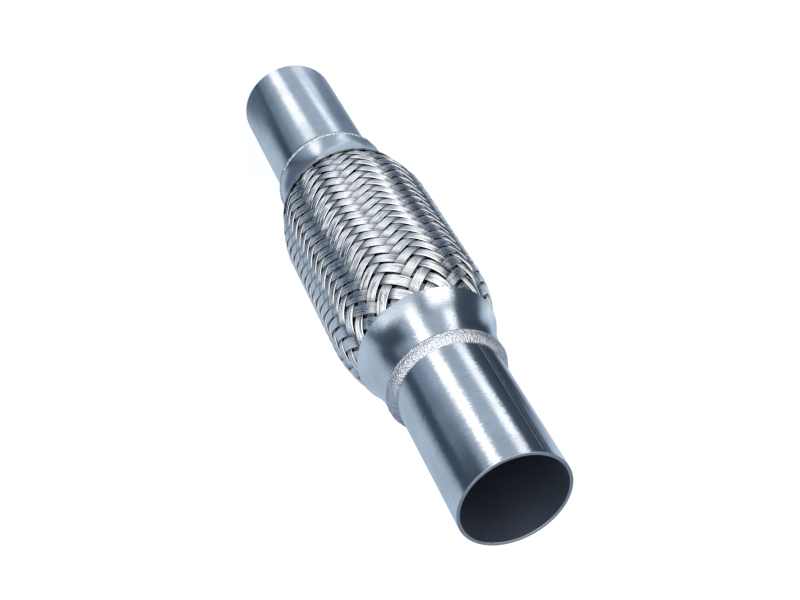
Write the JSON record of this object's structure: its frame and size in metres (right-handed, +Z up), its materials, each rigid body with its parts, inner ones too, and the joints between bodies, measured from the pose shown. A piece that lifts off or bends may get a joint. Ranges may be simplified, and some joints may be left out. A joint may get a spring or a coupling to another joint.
{
  "type": "exhaust flex pipe",
  "caption": "Braided flexible coupling for an exhaust line, with a plain tube welded into a flared cap at each end",
  "frame": {"origin": "centre of the lower tube's end, which the pipe stands on", "axes": "+Z runs up the pipe's axis, +X and +Y are square to it, and the pictured side faces -Y"},
  "size_m": [0.0756, 0.0756, 0.3185],
  "materials": {
    "tube_steel": "drawn tube, fine scuffs across its length",
    "cap_steel": "brushed and slightly mottled",
    "weld_steel": "rippled weld bead, duller than the tube",
    "braid_steel": "woven bright wire",
    "bellows_steel": "thin bright sheet",
    "liner_steel": "dull strip-wound sleeve"
  },
  "bodies": {
    "lower_end": {"lower_tube": "tube_steel", "lower_cap": "cap_steel", "lower_weld": "weld_steel"},
    "flex_core": {"outer_braid": "braid_steel", "bellows": "bellows_steel", "inner_liner": "liner_steel"},
    "upper_end": {"upper_tube": "tube_steel", "upper_cap": "cap_steel", "upper_weld": "weld_steel"}
  },
  "joints": [
    {"name": "bend_lower", "type": "hinge", "parent": "lower_end", "child": "flex_core", "pos_m": [0, 0, 0.13257], "axis": [1, 0, 0], "range_deg": [-8, 8], "stiffness_Nm_per_rad": 60, "deforming": ["outer_braid", "bellows", "inner_liner"]},
    {"name": "bend_upper", "type": "hinge", "parent": "flex_core", "child": "upper_end", "pos_m": [0, 0, 0.19093], "axis": [0, 1, 0], "range_deg": [-8, 8], "stiffness_Nm_per_rad": 60, "deforming": ["outer_braid", "bellows", "inner_liner"]}
  ]
}
